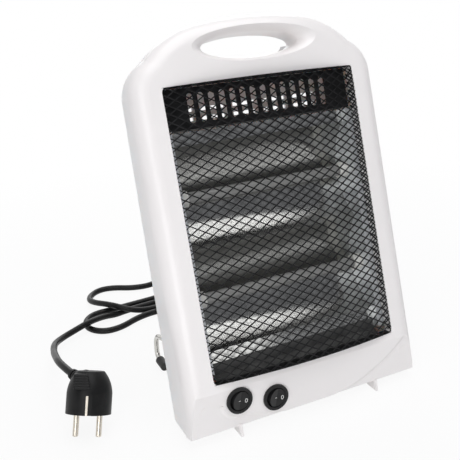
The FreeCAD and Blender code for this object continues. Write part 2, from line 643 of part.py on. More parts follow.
def rocker(name, place):
    """Rocker with two faces that meet in a shallow valley, on a pin that turns in the housing."""
    tilt = math.radians(size("rocker_tilt"))
    reach, half = size("rocker_radius"), size("rocker_half_height")
    pivot = size("rocker_pivot")
    rise = reach * math.tan(tilt)
    top = [(-reach, half + rise / 2), (0, half - rise / 2), (reach, half + rise / 2)]
    ring = [(-reach, -half)] + top + [(reach, -half)]
    wire = Part.makePolygon([Vector(x, -reach, z + pivot) for x, z in ring + ring[:1]])
    wedge = Part.Face(wire).extrude(Vector(0, 2 * reach, 0))
    round_body = Part.makeCylinder(reach, 4 * half, Vector(0, 0, pivot - 2 * half))
    pin_end = Vector(0, -size("pin_half"), pivot)
    pin = Part.makeCylinder(size("pin_radius"), 2 * size("pin_half"), pin_end, Vector(0, 1, 0))
    solid = wedge.common(round_body).fuse(pin).removeSplitter()
    solid.rotate(Vector(0, 0, pivot), Vector(0, 1, 0), size("rocker_tilt"))
    obj = feature(name, solid)
    obj.Placement = place.multiply(obj.Placement)
    return obj


def switch_blades(name, place):
    """Two push-on terminals behind a switch."""
    blades = []
    for i in (-1, 1):
        at = Vector(i * size("blade_pitch") / 2 - size("blade_thick") / 2, -size("blade_width") / 2,
                    -size("barrel_length") - size("blade_length"))
        blades.append(Part.makeBox(size("blade_thick"), size("blade_width"), size("blade_length"), at))
    obj = feature(name, Part.makeCompound(blades))
    obj.Placement = place
    return obj


def tube_set(name, z):
    """A quartz tube, the wire coil's envelope inside it and a ceramic cap with a stub on each end."""
    along = Vector(1, 0, 0)
    start = Vector(-TUBE_HALF, size("tube_depth"), z)
    long = "2 * (Sizes.half_width - Sizes.column_width - Sizes.reflector_margin - Sizes.tube_end_gap)"
    outside = cylinder("tube_outside_" + name, "Sizes.tube_radius", long, start, along)
    bore = cylinder("tube_bore_" + name, "Sizes.tube_radius - Sizes.tube_wall", long, start, along)
    keep(cut("quartz_tube_" + name, outside, bore), "quartz_tube_" + name)
    element = cylinder("heating_element_" + name, "Sizes.coil_radius", long + " - 2 * Sizes.element_gap",
                       start + along * size("element_gap"), along)
    keep(element, "heating_element_" + name)
    for side, word in ((-1, "left"), (1, "right")):
        label = "ceramic_cap_%s_%s" % (name, word)
        head = side * along
        face = Vector(0, size("tube_depth"), z) + head * (TUBE_HALF - size("cap_socket"))
        body = cylinder(label + "_body", "Sizes.cap_radius", "Sizes.cap_length", face, head)
        hole = "Sizes.tube_radius + Sizes.fit_gap"
        socket = cylinder(label + "_socket", hole, "Sizes.cap_socket", face, head)
        stub = cylinder(label + "_stub", "Sizes.stub_radius", "Sizes.cap_socket",
                        face + head * size("cap_length"), head)
        keep(fuse(label, cut(label + "_shell", body, socket), stub), label)


def case_screws():
    """Six pan-head screws that hold the rear cover to the front frame."""
    screws = []
    back = Vector(0, 1, 0)
    for x, z in boss_places():
        seat = Vector(x, DEPTH + size("screw_length") / 2, z)
        tip = seat - back * size("screw_length")
        shank = Part.makeCylinder(size("screw_radius"), size("screw_length"), tip, back)
        head = Part.makeCylinder(size("screw_head_radius"), size("screw_head_height"), seat, back)
        screws.append(shank.fuse(head).removeSplitter())
    return Part.makeCompound(screws)


def terminal_block():
    """Terminal strip with one bore for each conductor."""
    wide, high, deep = size("block_width"), size("block_height"), size("block_depth")
    low = block_corner()
    block = Part.makeBox(wide, deep, high, low)
    count = int(size("block_bores"))
    bores = []
    for i in range(count):
        middle = low + Vector((2 * i + 1) * wide / (2 * count), deep / 2, -OVER)
        bores.append(Part.makeCylinder(size("block_bore_radius"), high + 2 * OVER, middle))
    return block.cut(bores)


def ringed_cone(root, tip, length, start, axis, rings, bore):
    """A tapered sleeve with grooves round it and a bore for the cord."""
    points = [Vector(bore, 0, 0), Vector(root, 0, 0)]
    pitch = length / (rings + 1)
    half = size("ring_width") / 2
    for i in range(rings):
        middle = (i + 1) * pitch
        for z, deep in ((middle - half, 0), (middle - half, 1), (middle + half, 1), (middle + half, 0)):
            outer = root + (tip - root) * z / length
            points.append(Vector(outer - deep * size("ring_depth"), 0, z))
    points += [Vector(tip, 0, length), Vector(bore, 0, length)]
    face = Part.Face(Part.makePolygon(points + points[:1]))
    solid = face.revolve(Vector(0, 0, 0), Vector(0, 0, 1), 360)
    solid.Placement = Placement(start, Rotation(Vector(0, 0, 1), axis))
    return solid


def gland_tip():
    """Where the cord leaves the strain relief, in the body frame."""
    return Vector(size("gland_x"), back_depth(size("gland_z")) + size("gland_length"), size("gland_z"))


def cord_gland():
    """Strain relief: a flange inside the cover and a ringed taper outside it, bored for the cord."""
    back = Vector(0, 1, 0)
    tip = gland_tip()
    inside = back_depth(size("gland_z")) - T - OVER / 10
    bore = size("cord_radius") - size("fit_gap")
    root = Vector(tip.x, inside, tip.z)
    taper = ringed_cone(size("gland_root_radius"), size("gland_tip_radius"), tip.y - inside, root, back,
                        int(size("gland_rings")), bore)
    flange = size("gland_flange")
    ring = Part.makeCylinder(size("gland_flange_radius"), flange, root - back * flange, back)
    hole = Part.makeCylinder(bore, flange + 2 * OVER, root - back * (flange + OVER), back)
    return taper.fuse(ring.cut(hole)).removeSplitter()


def foot_cap(side):
    """Rubber cap on one end of the stand."""
    x = side * (W - size("leg_margin"))
    start = Vector(x, size("leg_toe_back") + size("foot_cap_bore"), size("foot_cap_radius"))
    ahead = Vector(0, -1, 0)
    name = "stand_foot_" + ("left" if side < 0 else "right")
    body = cylinder(name + "_body", "Sizes.foot_cap_radius", "Sizes.foot_cap_length", start, ahead)
    hole = "Sizes.wire_radius + Sizes.fit_gap"
    bore = cylinder(name + "_bore", hole, "Sizes.foot_cap_bore", start, ahead)
    return keep(cut(name, body, bore), name, "floor")


def plug_place():
    """The plug leans back on its pin tips, turned about its own axis."""
    heading = math.radians(size("plug_lean_heading"))
    hinge = Vector(-math.sin(heading), math.cos(heading), 0)
    lean = Rotation(hinge, size("plug_lean")).multiply(Rotation(Vector(0, 0, 1), size("plug_turn")))
    pins = placed(Part.makeCompound(plug_pins()), Placement(Vector(), lean))
    rise = -pins.optimalBoundingBox(False).ZMin
    return Placement(Vector(size("plug_x"), size("plug_y"), rise), lean)


def boot_axis():
    """Start and heading of the plug's boot, in the plug's frame: out of its side and upwards."""
    side, lift = math.radians(size("boot_side")), math.radians(size("boot_lift"))
    heading = Vector(math.sin(side) * math.cos(lift), math.cos(side) * math.cos(lift), math.sin(lift))
    start = Vector(0, 0, size("plug_neck")) + heading * size("boot_start")
    return start, heading


def plug_body():
    """Moulded plug: a round foot that draws in to a grip, with pin holes and a collar for the boot."""
    radius, high, top = size("plug_radius"), size("plug_height"), size("plug_top_radius")
    foot = Vector(radius, 0, size("plug_straight"))
    grip = Vector(top, 0, high)
    middle = (foot + grip) / 2 + Vector(size("plug_bulge"), 0, size("plug_bulge"))
    edges = [Part.makeLine(Vector(), Vector(radius, 0, 0)), Part.makeLine(Vector(radius, 0, 0), foot),
             Part.Arc(foot, middle, grip).toShape(), Part.makeLine(grip, Vector(0, 0, high)),
             Part.makeLine(Vector(0, 0, high), Vector())]
    body = Part.Face(Part.Wire(edges)).revolve(Vector(), Vector(0, 0, 1), 360)
    start, heading = boot_axis()
    collar, half = size("boot_root_radius") + size("collar_wall"), size("collar_half")
    body = body.fuse(Part.makeCylinder(collar, 2 * half, start - heading * half, heading))
    boot_hole = Part.makeCylinder(size("boot_root_radius"), radius, start, heading)
    depth = size("pin_depth")
    pins = [Part.makeCylinder(size("plug_pin_radius"), depth, Vector(x, 0, 0)) for x in pin_places()]
    return body.cut([boot_hole] + pins + earth_clips(OVER)).removeSplitter()


def pin_places():
    return (-size("plug_pin_pitch") / 2, size("plug_pin_pitch") / 2)


def plug_pins():
    """Two round pins with rounded tips, set deep in the plug."""
    pins = []
    for x in pin_places():
        radius = size("plug_pin_radius")
        length = size("pin_length") + size("pin_depth")
        pin = Part.makeCylinder(radius, length, Vector(x, 0, -size("pin_length")))
        tip = [edge for edge in pin.Edges if abs(edge.CenterOfMass.z + size("pin_length")) < NEAR
               and len(edge.Vertexes) == 1]
        pins.append(pin.makeFillet(radius / 2, tip))
    return pins


def earth_clips(proud=0):
    """Two strips let into the plug's sides; standing proud of the side they give the grooves."""
    wide, thick, tall = size("clip_width"), size("clip_thick"), size("clip_length")
    inner = size("plug_radius") - thick
    near = Part.makeBox(wide, thick + proud, tall, Vector(-wide / 2, inner, 0))
    far = Part.makeBox(wide, thick + proud, tall, Vector(-wide / 2, -inner - thick - proud, 0))
    return [near, far]


def plug_boot():
    """Ringed boot between the plug and the cord."""
    start, heading = boot_axis()
    bore = size("cord_radius") - size("fit_gap")
    return ringed_cone(size("boot_root_radius"), size("boot_tip_radius"), size("boot_length"), start,
                       heading, int(size("boot_ribs")), bore)


def boot_tip():
    """Where the cord meets the boot, in the floor frame."""
    start, heading = boot_axis()
    return plug_place().multVec(start + heading * size("boot_length"))


def cord_points():
    """The cord's route in the floor frame, from the strain relief to the boot."""
    tip = gland_tip()
    turn = Rotation(Vector(1, 0, 0), -size("lean_angle"))
    first = turn.multVec(tip - Vector(0, FOOT_FRONT, FOOT_BOTTOM))
    print("cord from", first, "to", boot_tip())
    return [first] + [Vector(*point) for point in CORD_ROUTE] + [boot_tip()]


def power_cord():
    """The mains lead as a tube: each bend as large as its two runs allow."""
    points = cord_points()
    radii = []
    for before, here, after in zip(points, points[1:], points[2:]):
        back, on = before - here, after - here
        half_turn = (math.pi - back.getAngle(on)) / 2
        shorter = min(back.Length, on.Length)
        radii.append(CORD_BEND_SHARE * shorter / math.tan(half_turn))
    path = rounded_path(points, radii)
    print("cord length %.1f" % path.Length)
    print("cord radii", [round(radius) for radius in radii])
    return tube_along(path, size("cord_radius"))


feature("front_frame", front_frame())
feature("rear_cover", rear_cover())
feature("guard_mesh", guard_mesh())
feature("reflector", reflector())
feature("reflector_end_left", end_plate(-1))
feature("reflector_end_right", end_plate(1))
feature("vent_panel", vent_panel())
feature("lower_baffle", lower_baffle())
tube_set("upper", size("tube_high"))
tube_set("lower", size("tube_low"))
for word, switch_place in SWITCHES.items():
    switch_housing("switch_" + word, switch_place)
    rocker("rocker_" + word, switch_place)
    switch_blades("switch_blades_" + word, switch_place)
feature("case_screws", case_screws())
feature("terminal_block", terminal_block())
feature("cord_gland", cord_gland())
feature("stand_wire", stand_wire(), "floor")
for side_word, side_sign in (("left", -1), ("right", 1)):
    feature("stand_bracket_" + side_word, stand_bracket(side_sign))
    foot_cap(side_sign)
CORD_NODES = ["power_cord", "plug_body", "plug_pins", "plug_earth_clips", "plug_boot"]
feature("power_cord", power_cord(), "floor")
for label, shape in (("plug_body", plug_body()), ("plug_pins", Part.makeCompound(plug_pins())),
                     ("plug_earth_clips", Part.makeCompound(earth_clips())), ("plug_boot", plug_boot())):
    feature(label, placed(shape, plug_place()), "floor")

doc.recompute()
lean = Rotation(Vector(1, 0, 0), -size("lean_angle"))
body_place = Placement(lean.multVec(Vector(0, -FOOT_FRONT, -FOOT_BOTTOM)), lean)
frames = {"body": body_place, "floor": Placement()}
for obj, frame_name in parts:
    obj.Placement = frames[frame_name].multiply(obj.Placement)
doc.recompute()
standing = FreeCAD.BoundBox()
for obj, frame_name in parts:
    if obj.Label not in CORD_NODES:
        standing.add(obj.Shape.optimalBoundingBox(False))
centre_shift = Placement(Vector(-standing.Center.x, -standing.Center.y, -standing.ZMin), Rotation())
for obj, frame_name in parts:
    obj.Placement = centre_shift.multiply(obj.Placement)
doc.recompute()
print("object box", standing, "shift", centre_shift.Base)
for word, switch_place in SWITCHES.items():
    place = centre_shift.multiply(body_place).multiply(switch_place)
    pivot = place.multVec(Vector(0, 0, size("rocker_pivot")))
    print("rocker", word, pivot, place.Rotation.multVec(Vector(0, -1, 0)))

for obj in doc.Objects:
    if "Invalid" in obj.State or "Error" in obj.State:
        raise RuntimeError("%s did not build: %s" % (obj.Label, obj.State))
os.makedirs("parts", exist_ok=True)
for obj, frame_name in parts:
    if obj.Shape.isNull() or not obj.Shape.isValid():
        raise RuntimeError("%s has no valid shape" % obj.Label)
for obj, frame_name in parts:
    obj.Shape.exportStep("parts/%s.step" % obj.Label)
print(len(parts), "sub-parts")
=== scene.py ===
"""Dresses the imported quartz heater: finishes, fine guard mesh, switch marks, lead and a pale studio."""

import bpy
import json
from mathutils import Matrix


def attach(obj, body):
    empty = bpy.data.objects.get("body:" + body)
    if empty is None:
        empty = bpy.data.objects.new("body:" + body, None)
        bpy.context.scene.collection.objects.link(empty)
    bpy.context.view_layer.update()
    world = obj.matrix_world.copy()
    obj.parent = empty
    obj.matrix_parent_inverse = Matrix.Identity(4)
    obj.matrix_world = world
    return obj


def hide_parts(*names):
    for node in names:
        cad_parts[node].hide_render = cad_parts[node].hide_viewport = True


bl_info = {
    "name": "Quartz heater dressing",
    "version": (1, 0, 0),
    "blender": (4, 5, 0),
    "location": "View3D > Sidebar > Heater",
    "description": "Finishes and fine pieces for a leaning quartz heater",
    "category": "Object",
}

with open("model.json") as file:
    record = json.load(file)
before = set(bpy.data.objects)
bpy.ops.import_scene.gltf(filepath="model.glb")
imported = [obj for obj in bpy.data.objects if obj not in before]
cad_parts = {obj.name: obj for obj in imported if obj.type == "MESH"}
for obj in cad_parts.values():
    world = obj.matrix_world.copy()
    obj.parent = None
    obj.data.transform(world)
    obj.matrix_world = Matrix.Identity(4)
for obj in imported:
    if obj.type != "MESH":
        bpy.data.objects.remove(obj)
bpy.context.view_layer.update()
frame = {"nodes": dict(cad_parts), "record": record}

import json
import math

import bpy
import numpy as np
from bpy.props import FloatProperty, FloatVectorProperty, IntProperty, PointerProperty
from mathutils import Euler, Matrix, Vector

MM = 0.001
X_AXIS, Y_AXIS, Z_AXIS = np.eye(3)
SIDES = (-1, 1)
TINY = 1e-12

# The body frame of the solids: the window's middle on the front face, in metres, and the casing's lean.
LEAN = math.radians(18)
WINDOW_MIDDLE = Vector((0.0, -0.028487, 0.16463))
TO_WORLD = Matrix.Translation(WINDOW_MIDDLE) @ Matrix.Rotation(-LEAN, 4, "X")

# The chin, in the body frame: heights of its upper and lower edge, and how far it runs back between them.
CHIN_TOP, CHIN_BOTTOM = -0.126, -0.161
CHIN_BACK = 0.008
CHIN_SLOPE = CHIN_BACK / (CHIN_TOP - CHIN_BOTTOM)

# Arcs that end the chin's raised panel: middle, radius, first and last angle from straight down. Two lie on
# one wide arc, right and left, and the third goes round the left switch. Where the room down to the casing's
# lower edge is narrow, the soft edge takes this share of it.
PANEL_MIDDLE, PANEL_RADIUS = (0.0, -0.013), 0.150
LEFT_SWITCH, SWITCH_LAND = (-0.068, -0.1375), 0.0142
PANEL_ARCS = (
    (PANEL_MIDDLE, PANEL_RADIUS, 0.18, 0.716),
    (PANEL_MIDDLE, PANEL_RADIUS, -0.44, -0.18),
    (LEFT_SWITCH, SWITCH_LAND, -1.46, 0.46),
)
ROOM_SHARE = 0.9

# The lead's route in millimetres, from the strain relief to the plug's boot, and the shift to the part's
# origin.
ROUTE_SHIFT = -73.566777
CORD_ROUTE = [
    (-20, 80.683, 21.626),
    (-20, 101.5, 14.8), (-16, 124, 7.5), (-6, 147, 3.6), (6, 170, 3.4), (10, 196, 3.4),
    (-3, 219, 3.4), (-27, 233, 3.4), (-53, 238, 3.4), (-77, 234, 3.4), (-100, 221.8, 3.4),
    (-119.1, 221.5, 3.4), (-132, 234.4, 3.4), (-132, 252.6, 3.4), (-119.1, 265.5, 3.4), (-100, 266, 3.4),
    (-83, 266.5, 3.4), (-48.5, 268, 3.4), (-20, 271, 3.4), (5, 273, 3.4), (32.8, 274, 3.4),
    (51, 292.2, 3.4), (51, 317.8, 3.4), (32.8, 336, 3.4), (7.2, 336, 3.4), (-12, 318, 3.4),
    (-34, 303, 3.4), (-58, 306, 3.4), (-80, 320, 3.4), (-98.3, 321, 3.4), (-113, 306.3, 3.4),
    (-113, 285.7, 7.6), (-101, 265, 11.6), (-92, 253, 11.6), (-80, 245, 8), (-62, 244.5, 3.6),
    (-25, 248.5, 3.4), (5, 246, 3.4), (35, 236, 3.4), (62, 224, 3.4), (96.4, 222, 3.4),
    (114, 239.6, 3.4), (114, 264.4, 3.4), (96.4, 282, 3.4), (72, 284, 3.4), (46, 267, 3.4),
    (22, 260.5, 3.4), (-15, 259.5, 3.4), (-51, 258, 3.4), (-83, 256, 3.4), (-97, 252.5, 3.4),
    (-112, 247.5, 7.5), (-131, 235.5, 11.6), (-148, 228.5, 10), (-163, 221.5, 9), (-173.5, 208.5, 12),
    (-178.5, 190.5, 18), (-182.5, 169, 25), (-185, 146.5, 33), (-187, 120, 41),
    (-181.275, 99.324, 40.591),
]

# The plug's own frame: z runs up its axis from the foot, the pins point along -z, and one side looks to the
# camera.
PLUG_FOOT = Vector((-0.1783, -0.005766777, 0.01868308))
PLUG_HEADING = math.radians(56)
PLUG_LEAN = math.radians(30)
PLUG_TURN = math.radians(-16)
PLUG_HINGE = Vector((-math.sin(PLUG_HEADING), math.cos(PLUG_HEADING), 0.0))
PLUG_PLACE = (Matrix.Translation(PLUG_FOOT) @ Matrix.Rotation(PLUG_LEAN, 4, PLUG_HINGE)
              @ Matrix.Rotation(PLUG_TURN, 4, "Z"))

# A rocker's faces rise by the tilt to both ends, from the face's height above its pivot.
ROCKER_TILT = math.radians(10)
ROCKER_TOP, ROCKER_REACH = 0.0036, 0.004
ROCKER_FACE = ROCKER_TOP - ROCKER_REACH * math.tan(ROCKER_TILT)

# Black strips of painted shade in the body frame, front edge, back edge and half width: under the vent
# panel, on the lower lip and below the upper lip; they darken the gap and the white lips that lie in shade
# behind the guard.
SHADE_STRIPS = (
    ((0.0, 0.0118, 0.0856), (0.0, 0.0175, 0.0846), 0.081),
    ((0.0, 0.0, -0.1193), (0.0, 0.0062, -0.1193), 0.0865),
    ((0.0, 0.0, 0.1193), (0.0, 0.0108, 0.1193), 0.0865),
)

# How finely the pieces are divided.
PANEL_ALONG, PANEL_ACROSS = 61, 13
KNOTS_PER_DIAMOND = 6
EDGE_KNOTS, BAR_KNOTS = 65, 9
RING_KNOTS = 36
KNOTS_PER_RIDGE = 12
LEAD_STEPS, LEAD_ROUNDNESS = 8, 4

# The step, in strand thicknesses, over which the sheet's slopes are taken.
SLOPE_STEP = 0.05

# What all finishes share: the two noises, their stops for tint and gloss, and how light seeps through walls.
CLOUD_DETAIL, GRAIN_DETAIL, NOISE_ROUGHNESS = 3.0, 2.0, 0.5
TINT_STOPS = (0.35, 0.65)
GLOSS_STOPS = (0.3, 0.7)
SEEP_RADIUS, SEEP_SCALE = (1.0, 0.78, 0.7), 0.004

# The studio: how much of the floor is plain white, near and far from the heater, the light of the world, and
# where mirrored rays change from the world's own light to white.
FLOOR_REACH, FLOOR_ROUGHNESS = 6.0, 0.9
FADE_DISTANCES, FADE_SHARES = (0.2, 0.75), (0.9, 1.0)
WORLD_TINT, WORLD_STRENGTH = (0.92, 0.94, 1.0), 0.31
MIRROR_STOPS = (-0.2, 0.2)

# Lamps: name, place, width in metres and power in watts.
LAMP_TARGET = Vector((0.0, 0.0, 0.15))
LAMPS = (
    ("key", (-1.4, -1.3, 1.1), 1.2, 9.0),
    ("overhead", (0.08, -0.2, 1.5), 1.35, 11.5),
    ("fill", (-0.55, -0.85, 0.12), 0.6, 3.0),
    ("low", (0.42, -1.45, 0.1), 0.34, 0.4),
    ("rear", (0.5, 1.5, 0.9), 1.2, 6.0),
)

# The camera that matches the photograph: place in metres, turn in degrees.
CAMERA_PLACE = (-0.28240, -0.517637, 0.38096)
CAMERA_TURN = (68.279, 2.024, -26.078)
SENSOR_WIDTH = 36.0
CLIP_START = 0.01


def colour(name, text, default):
    """A colour that a user can change."""
    return FloatVectorProperty(name=name, description=text, subtype="COLOR", size=3, min=0.0, max=1.0,
                               default=default)


def length(name, text, default):
    """A length in metres that a user can change."""
    return FloatProperty(name=name, description=text, unit="LENGTH", default=default, precision=4)


class HeaterFinishes(bpy.types.PropertyGroup):
    """Base colours of the heater's finishes."""
    shell: colour("Shell", "White moulded casing", (0.86, 0.832, 0.824))
    guard: colour("Guard", "Black paint of the guard and the vent panel", (0.009, 0.009, 0.0095))
    tray: colour("Tray", "Dark sheet below the reflector", (0.07, 0.07, 0.068))
    sheet: colour("Sheet", "Bright reflector sheet", (0.5, 0.5, 0.485))
    plate: colour("Plate", "End plates of the reflector", (0.78, 0.8, 0.82))
    quartz: colour("Quartz", "Milky quartz tubes", (0.3, 0.3, 0.29))
    ceramic: colour("Ceramic", "Caps on the tube ends", (0.84, 0.83, 0.79))
    switch: colour("Switch", "Switch housings and rockers", (0.009, 0.009, 0.0095))
    mark: colour("Mark", "Marks on the rockers", (0.8, 0.8, 0.78))
    sheath: colour("Sheath", "Lead and strain relief", (0.005, 0.0049, 0.0049))
    plug: colour("Plug", "Moulded plug and boot", (0.006, 0.006, 0.0062))
    nickel: colour("Nickel", "Plug pins and earth strips", (0.66, 0.61, 0.53))
    zinc: colour("Zinc", "Stand wire and screws", (0.6, 0.59, 0.56))
    rubber: colour("Rubber", "Stand feet", (0.015, 0.015, 0.015))
    floor: colour("Floor", "Studio floor", (0.86, 0.86, 0.86))


class HeaterSizes(bpy.types.PropertyGroup):
    """Sizes of the pieces that the scene adds to the solids."""
    guard_half: length("Guard half width", "Half the guard's width in the window", 0.0877)
    guard_tall: length("Guard half height", "Half the guard's height in the window", 0.1192)
    guard_bow: length("Guard bow", "How far the guard bows out of the window", 0.010)
    guard_flange: length("Guard flange", "How far the guard's edges turn back", 0.010)
    mesh_wide: length("Mesh width", "Width of one diamond", 0.0114)
    mesh_high: length("Mesh height", "Height of one diamond", 0.0068)
    strand_width: length("Strand width", "Width of a strand of the mesh", 0.00095)
    # This thickness also serves the black strips of painted shade.
    strand_thick: length("Strand thickness", "Thickness of a strand of the mesh", 0.0006)
    edge_thick: length("Edge thickness", "Thickness of the guard's folded edges and the dark strips", 0.0002)
    panel_drop: length("Panel drop", "How far the chin lies deeper outside its raised panel", 0.0016)
    panel_soft: length("Panel softness", "Width of the raised panel's soft edge", 0.0034)
    panel_lift: length("Panel lift", "How far the soft edge lies above the solids", 0.00004)
    panel_root: length("Panel root", "How deep the soft edge is rooted", 0.0003)
    cord_radius: length("Cord radius", "Radius of the lead", 0.0033)
    grip_low: length("Grip low", "Lower edge of the plug's finger grip above its foot", 0.0207)
    grip_high: length("Grip high", "Upper edge of the plug's finger grip above its foot", 0.0332)
    grip_left: length("Grip left", "Left end of the finger grip", -0.0135)
    grip_right: length("Grip right", "Right end of the finger grip at its lower edge", 0.001)
    grip_slant: length("Grip slant", "How much the right end draws in towards the upper edge", 0.003)
    grip_face: length("Grip face", "How far the grip's face lies from the plug's axis", 0.0183)
    grip_root: length("Grip root", "How deep the grip is rooted, from the plug's axis", 0.004)
    grip_round: length("Grip round", "Rounding of the grip's ends", 0.0008)
    grip_ridge: length("Grip ridge", "Height of the grip's ridges", 0.0004)
    grip_ridges: IntProperty(name="Grip ridges", description="Number of ridges", default=6)
    strip_width: length("Strip width", "Width of an earth strip", 0.0018)
    strip_thick: length("Strip thickness", "Thickness of an earth strip", 0.0011)
    strip_place: length("Strip place", "How far an earth strip lies beside the groove's middle", 0.0016)
    strip_reach: length("Strip reach", "How far an earth strip lies from the plug's axis", 0.0184)
    strip_tall: length("Strip height", "Height of an earth strip", 0.0158)
    ring_reach: length("Ring reach", "How far the ring lies from the rocker's middle", 0.0052)
    ring_wide: length("Ring half width", "Half the ring's width along the rocker", 0.00105)
    ring_tall: length("Ring half height", "Half the ring's height across the rocker", 0.0016)
    bar_reach: length("Bar reach", "How far the bar lies from the rocker's middle", 0.0011)
    bar_half: length("Bar half length", "Half the bar's length", 0.0009)
    mark_line: length("Mark line", "Width of the marks' lines", 0.00042)
    mark_thick: length("Mark thickness", "Thickness of the marks, half of it above the rocker", 0.0004)
    lens: FloatProperty(name="Lens", description="Camera focal length for a 36 mm frame", default=56.58)


def sizes():
    """The sizes as set in the scene."""
    return bpy.context.scene.heater_sizes


def finishes():
    """The colours as set in the scene."""
    return bpy.context.scene.heater_finishes


def new_mesh(name, corners, blocks, material):
    """A flat-shaded mesh object at the origin, from an array of corners and arrays of faces."""
    mesh = bpy.data.meshes.new(name)
    mesh.from_pydata(np.asarray(corners).tolist(), [], [face for block in blocks for face in block.tolist()])
    mesh.materials.append(material)
    piece = bpy.data.objects.new(name, mesh)
    bpy.context.scene.collection.objects.link(piece)
    return piece


def carried(points, matrix):
    """Rows of points through a 4 by 4 matrix."""
    m = np.array(matrix)
    return np.asarray(points) @ m[:3, :3].T + m[:3, 3]


def unit(rows):
    """Rows of vectors at length 1; a row of zeros, as where two flanges meet in a corner, stays as it is."""
    return rows / np.maximum(np.linalg.norm(rows, axis=1, keepdims=True), TINY)


def skin(rings, closed=False):
    """Corners and faces of a tube through n rings of k points, with flat ends unless it is closed."""
    n, k = rings.shape[:2]
    i = np.arange(n if closed else n - 1)[:, None] * k
    j = np.arange(k)[None, :]
    after = (i + k) % (n * k)
    turned = (j + 1) % k
    quads = np.stack([i + j, i + turned, after + turned, after + j], axis=-1).reshape(-1, 4)
    ends = np.concatenate([j[:, ::-1], j + (n - 1) * k])
    return rings.reshape(-1, 3), [quads] if closed else [quads, ends]


def sweep(path, sides, ups, width, thick, closed=False):
    """Corners and faces of a flat bar on a path: at each point plus and minus half width and half thickness.

    The corners run the other way round where side x up points back along the path: faces point outwards.
    """
    turn = float(np.sign(np.sum(np.cross(sides, ups) * np.gradient(path, axis=0))))
    across, above = sides * (turn * width / 2), ups * (thick / 2)
    corners = [path - across - above, path + across - above, path + across + above, path - across + above]
    return skin(np.stack(corners, axis=1), closed)


def joined(parts):
    """Corners and faces of several parts as those of one mesh."""
    starts = np.cumsum([0] + [len(corners) for corners, _ in parts])
    blocks = [block + start for start, (_, part) in zip(starts, parts) for block in part]
    return np.concatenate([corners for corners, _ in parts]), blocks


def shader_tree(name):
    """A material with nodes, its node tree and its Principled shader."""
    material = bpy.data.materials.new(name)
    material.use_nodes = True
    tree = material.node_tree
    return material, tree, tree.nodes["Principled BSDF"]


def node(tree, kind, **values):
    """A new node with its settings."""
    made = tree.nodes.new(kind)
    for key, value in values.items():
        setattr(made, key, value)
    return made


def noise(tree, scale, detail, stretch):
    """Noise on the piece's own coordinates, stretched along its axes."""
    place = node(tree, "ShaderNodeTexCoord")
    mapping = node(tree, "ShaderNodeMapping")
    mapping.inputs["Scale"].default_value = stretch
    texture = node(tree, "ShaderNodeTexNoise")
    texture.inputs["Scale"].default_value = scale
    texture.inputs["Detail"].default_value = detail
    texture.inputs["Roughness"].default_value = NOISE_ROUGHNESS
    tree.links.new(place.outputs["Object"], mapping.inputs["Vector"])
    tree.links.new(mapping.outputs["Vector"], texture.inputs["Vector"])
    return texture.outputs["Fac"]


def tinted(tree, source, low, high):
    """A colour ramp between two tints."""
    made = node(tree, "ShaderNodeValToRGB")
    for stop, position, tint in zip(made.color_ramp.elements, TINT_STOPS, (low, high)):
        stop.position = position
        stop.color = (*tint, 1.0)
    tree.links.new(source, made.inputs["Fac"])
    return made.outputs["Color"]


def map_range(tree, source, old, new):
    """A value carried from one range to another."""
    made = node(tree, "ShaderNodeMapRange")
    for name, value in zip(("From Min", "From Max", "To Min", "To Max"), (*old, *new)):
        made.inputs[name].default_value = value
    tree.links.new(source, made.inputs["Value"])
    return made.outputs["Result"]


def combined(tree, operation, first, second):
    """Two values through a math node."""
    made = node(tree, "ShaderNodeMath", operation=operation)
    tree.links.new(first, made.inputs[0])
    tree.links.new(second, made.inputs[1])
    return made.outputs[0]


def bump(tree, shader, source, strength, distance):
    """Lets a height disturb the shader's normal."""
    made = node(tree, "ShaderNodeBump")
    made.inputs["Strength"].default_value = strength
    made.inputs["Distance"].default_value = distance
    tree.links.new(source, made.inputs["Height"])
    tree.links.new(made.outputs["Normal"], shader.inputs["Normal"])


def shade(base, share):
    """A colour made darker or lighter."""
    return tuple(min(1.0, c * share) for c in base)


def finish(name, base, dark=0.93, light=1.04, cloud=18.0, grain=900.0, rough=(0.3, 0.4), depth=0.00004,
           strength=0.25, metallic=0.0, stretch=(1.0, 1.0, 1.0), coat=0.0, specular=0.5, seep=0.0):
    """A finish with clouded colour, a fine grain in its bump and an uneven gloss.

    Dark and light are shares of the base colour, cloud and grain the scales of the two noises, depth and
    strength those of the bump, and seep is the share of light that passes through thin walls.
    """
    material, tree, shader = shader_tree(name)
    clouds = noise(tree, cloud, CLOUD_DETAIL, stretch)
    fine = noise(tree, grain, GRAIN_DETAIL, stretch)
    tree.links.new(tinted(tree, clouds, shade(base, dark), shade(base, light)), shader.inputs["Base Color"])
    tree.links.new(map_range(tree, clouds, GLOSS_STOPS, rough), shader.inputs["Roughness"])
    bump(tree, shader, fine, strength, depth)
    shader.inputs["Metallic"].default_value = metallic
    shader.inputs["Coat Weight"].default_value = coat
    shader.inputs["Specular IOR Level"].default_value = specular
    shader.inputs["Subsurface Weight"].default_value = seep
    shader.inputs["Subsurface Radius"].default_value = SEEP_RADIUS
    shader.inputs["Subsurface Scale"].default_value = SEEP_SCALE
    return material


def dress(material, *names):
    """Gives CAD nodes a material."""
    for name in names:
        slots = frame["nodes"][name].data.materials
        slots.clear()
        slots.append(material)


